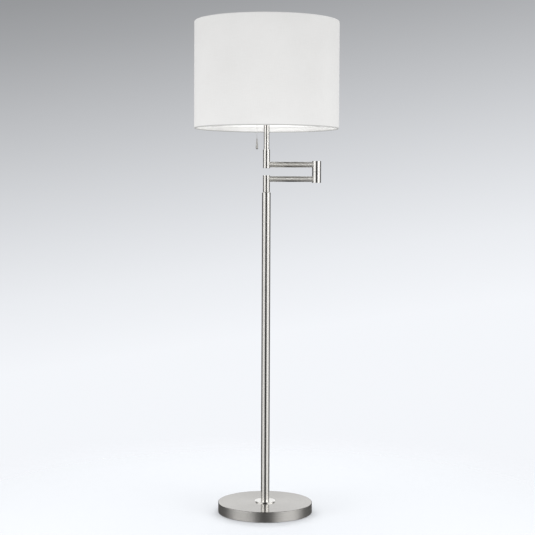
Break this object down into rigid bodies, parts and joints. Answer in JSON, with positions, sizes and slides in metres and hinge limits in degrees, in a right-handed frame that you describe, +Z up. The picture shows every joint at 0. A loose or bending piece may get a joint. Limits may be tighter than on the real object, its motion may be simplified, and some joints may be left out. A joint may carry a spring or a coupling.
{
  "type": "floor lamp",
  "caption": "Floor lamp with a round weighted base, a straight pole, a folding swing arm and a white drum shade over a pull-chain lampholder.",
  "frame": {"origin": "on the floor, at the centre of the base, on the pole's axis", "axes": "+Z up along the pole, +X from the pole towards the arm's barrel hinge, +Y to the rear, where the cable gland is"},
  "size_m": [0.4199, 0.42, 1.43],
  "materials": {
    "satin_nickel": "satin brushed nickel",
    "polished_nickel": "polished",
    "ball_chain": "nickel-plated ball chain",
    "ring_wire": "white powder coat",
    "zinc_steel": "zinc plated",
    "cast_weight": "raw casting",
    "brass_part": "plain brass",
    "felt": "pressed wool felt",
    "backing_board": "hardboard",
    "black_nylon": "moulded",
    "natural_nylon": "turned nylon",
    "flex_sheath": "silicone twin flex",
    "white_plastic": "moulded thermoplastic",
    "porcelain": "glazed porcelain",
    "bulb_metal": "rolled sheet",
    "opal_glass": "opal",
    "shade_cloth": "woven white cloth",
    "shade_film": "white laminate film"
  },
  "bodies": {
    "stand": {"base_felt": "felt", "base_backing": "backing_board", "base_weight": "cast_weight", "base_shell": "satin_nickel", "cable_gland": "black_nylon", "terminal_block": "white_plastic", "pole_washer": "polished_nickel", "pole_tube": "satin_nickel", "pole_foot_plug": "zinc_steel", "base_nipple": "brass_part", "base_lock_washer": "zinc_steel", "base_nut": "zinc_steel", "pole_top_collar": "satin_nickel", "swivel_bush": "natural_nylon", "stop_screw": "zinc_steel", "flex_stand": "flex_sheath"},
    "lower_arm": {"thrust_washer": "natural_nylon", "swivel_spindle": "zinc_steel", "spindle_circlip": "zinc_steel", "lower_riser": "satin_nickel", "lower_riser_cap": "satin_nickel", "lower_arm_tube": "satin_nickel", "barrel_lower": "satin_nickel", "barrel_lower_cap": "satin_nickel", "pivot_bolt": "zinc_steel", "friction_disc": "natural_nylon", "disc_spring": "zinc_steel", "pivot_nut": "zinc_steel", "flex_lower_arm": "flex_sheath"},
    "upper_arm": {"barrel_upper": "satin_nickel", "barrel_upper_cap": "satin_nickel", "upper_arm_tube": "satin_nickel", "upper_riser": "satin_nickel", "upper_riser_cap": "satin_nickel", "stem_coupler": "zinc_steel", "stem_tube": "satin_nickel", "stem_top_plug": "zinc_steel", "stem_nipple": "brass_part", "stem_locknut": "zinc_steel", "flex_upper_arm": "flex_sheath", "switch_housing": "white_plastic", "chain_eyelet": "polished_nickel", "switch_spring": "zinc_steel", "lampholder_sleeve": "white_plastic", "lampholder_insert": "porcelain", "screw_shell": "brass_part", "centre_contact": "brass_part", "shade_nut_lower": "white_plastic", "shade_nut_upper": "white_plastic", "bulb_cap": "bulb_metal", "bulb_glass": "opal_glass", "shade_fitter": "ring_wire", "shade_bottom_ring": "ring_wire", "shade_top_ring": "ring_wire", "shade_lining": "shade_film", "shade_fabric": "shade_cloth"},
    "pull_switch": {"switch_slider": "natural_nylon", "pull_chain": "ball_chain", "pull_knob": "polished_nickel"}
  },
  "joints": [
    {"name": "pole_swivel", "type": "hinge", "parent": "stand", "child": "lower_arm", "pos_m": [0, 0, 0.937], "axis": [0, 0, 1], "range_deg": [-160, 160]},
    {"name": "arm_swivel", "type": "hinge", "parent": "lower_arm", "child": "upper_arm", "pos_m": [0.146, 0, 0.9965], "axis": [0, 0, 1], "range_deg": [-170, 170]},
    {"name": "chain_pull", "type": "slide", "parent": "upper_arm", "child": "pull_switch", "axis": [0, 0, -1], "range_m": [0, 0.008], "stiffness_N_per_m": 400, "springref_m": -0.003, "deforming": ["switch_spring"]}
  ]
}
